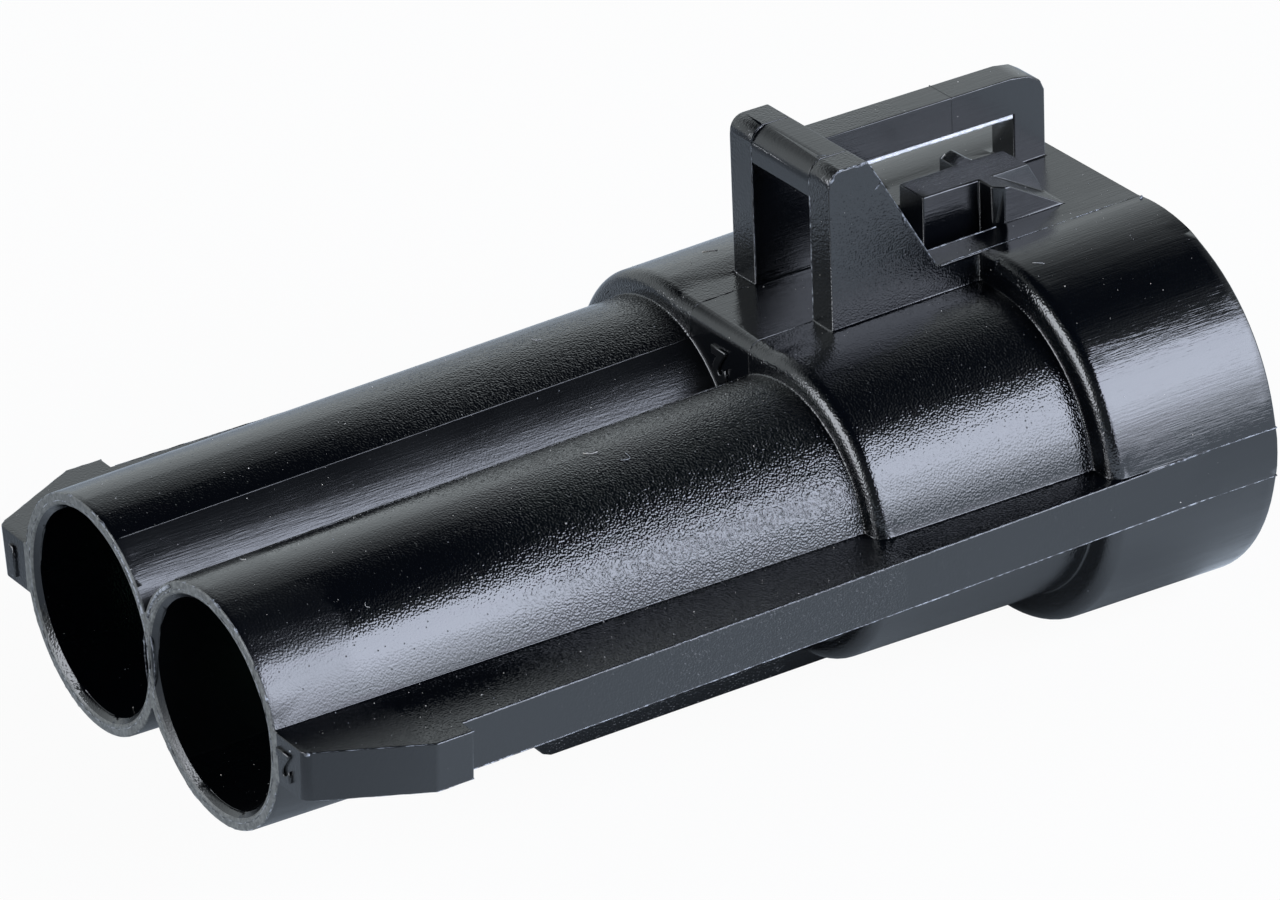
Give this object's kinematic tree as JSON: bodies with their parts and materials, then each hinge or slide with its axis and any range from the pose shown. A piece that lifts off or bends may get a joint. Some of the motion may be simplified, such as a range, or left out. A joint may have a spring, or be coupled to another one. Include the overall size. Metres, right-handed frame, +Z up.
{
  "type": "sealed two-way connector",
  "caption": "Black moulded connector with a pair of round wire towers, side rails with flags, a latch guard and ramp on top, and an open mating chamber behind.",
  "frame": {"origin": "on the surface it rests on, under the middle of its length and width", "axes": "+X along the towers from the wire end to the mating end, +Y across the pair to the far tower, +Z up to the latch side"},
  "size_m": [0.0416, 0.026, 0.0198],
  "materials": {
    "black_nylon": "moulded, fine grain outside, smooth in the channel and on the rear body",
    "tinned_brass": "tin plated strip",
    "silicone": "matt, oiled"
  },
  "bodies": {
    "root": {"housing": "black_nylon", "terminal_near": "tinned_brass", "terminal_far": "tinned_brass", "wire_seal_near": "silicone", "wire_seal_far": "silicone"}
  },
  "joints": []
}
